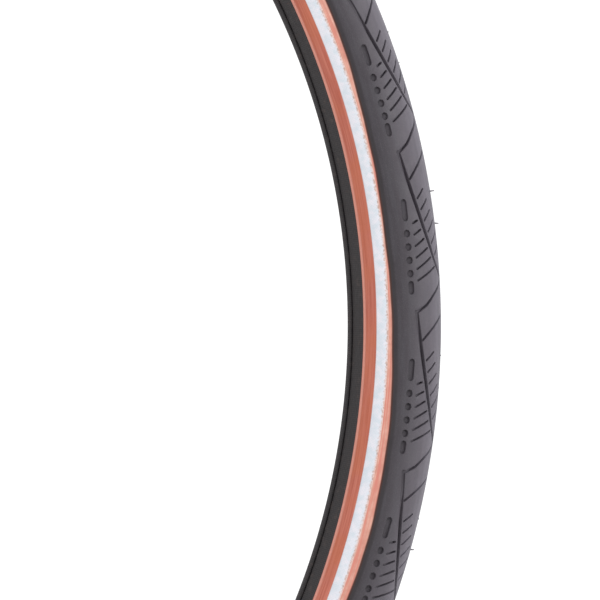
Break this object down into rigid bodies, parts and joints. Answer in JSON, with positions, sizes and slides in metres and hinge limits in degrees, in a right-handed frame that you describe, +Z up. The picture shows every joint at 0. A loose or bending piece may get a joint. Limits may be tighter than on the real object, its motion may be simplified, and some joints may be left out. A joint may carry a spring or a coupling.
{
  "type": "bicycle tire",
  "caption": "Bicycle tire with a grooved black tread, brick red sidewalls, white reflective stripes, wire beads, inner tube and valve.",
  "frame": {"origin": "the wheel's centre, on its axle line, midway between the two beads", "axes": "+Y along the axle towards the tire's right side, +Z up, with the valve at the bottom of the ring pointing up at the centre; +X to the right when looking along +Y"},
  "size_m": [0.7032, 0.0398, 0.7032],
  "materials": {
    "tread_rubber": "matte",
    "sidewall_rubber": "matte",
    "reflective_film": "satin",
    "casing_fabric": "matte",
    "chafer_rubber": "matte",
    "bead_steel": "bronzed",
    "belt_fabric": "woven",
    "tube_butyl": "satin",
    "valve_brass": "nickel plated",
    "core_brass": "machined",
    "nut_brass": "nickel plated",
    "spring_steel": "drawn wire",
    "seal_rubber": "satin",
    "cap_plastic": "moulded"
  },
  "bodies": {
    "tire": {"casing": "casing_fabric", "bead_wires_left": "bead_steel", "bead_wires_right": "bead_steel", "chafer_left": "chafer_rubber", "chafer_right": "chafer_rubber", "sidewall_left": "sidewall_rubber", "sidewall_right": "sidewall_rubber", "reflective_stripe_left": "reflective_film", "reflective_stripe_right": "reflective_film", "puncture_belt": "belt_fabric", "tread": "tread_rubber", "vent_spews": "tread_rubber", "inner_tube": "tube_butyl", "valve_patch": "tube_butyl", "valve_stem": "valve_brass", "core_barrel": "core_brass", "core_seat_seal": "seal_rubber", "core_spring": "spring_steel"},
    "valve_pin": {"core_pin": "core_brass", "core_plunger_seal": "seal_rubber"},
    "rim_nut": {"rim_nut": "nut_brass"},
    "dust_cap": {"dust_cap": "cap_plastic"}
  },
  "joints": [
    {"name": "valve_pin_press", "type": "slide", "parent": "tire", "child": "valve_pin", "axis": [0, 0, -1], "range_m": [0, 0.0015], "stiffness_N_per_m": 600, "springref_m": -0.003, "deforming": ["core_spring"]},
    {"name": "rim_nut_slide", "type": "slide", "parent": "tire", "child": "rim_nut", "axis": [0, 0, 1], "range_m": [0, 0.0085]},
    {"name": "dust_cap_slide", "type": "slide", "parent": "tire", "child": "dust_cap", "axis": [0, 0, 1], "range_m": [0, 0.03]}
  ]
}
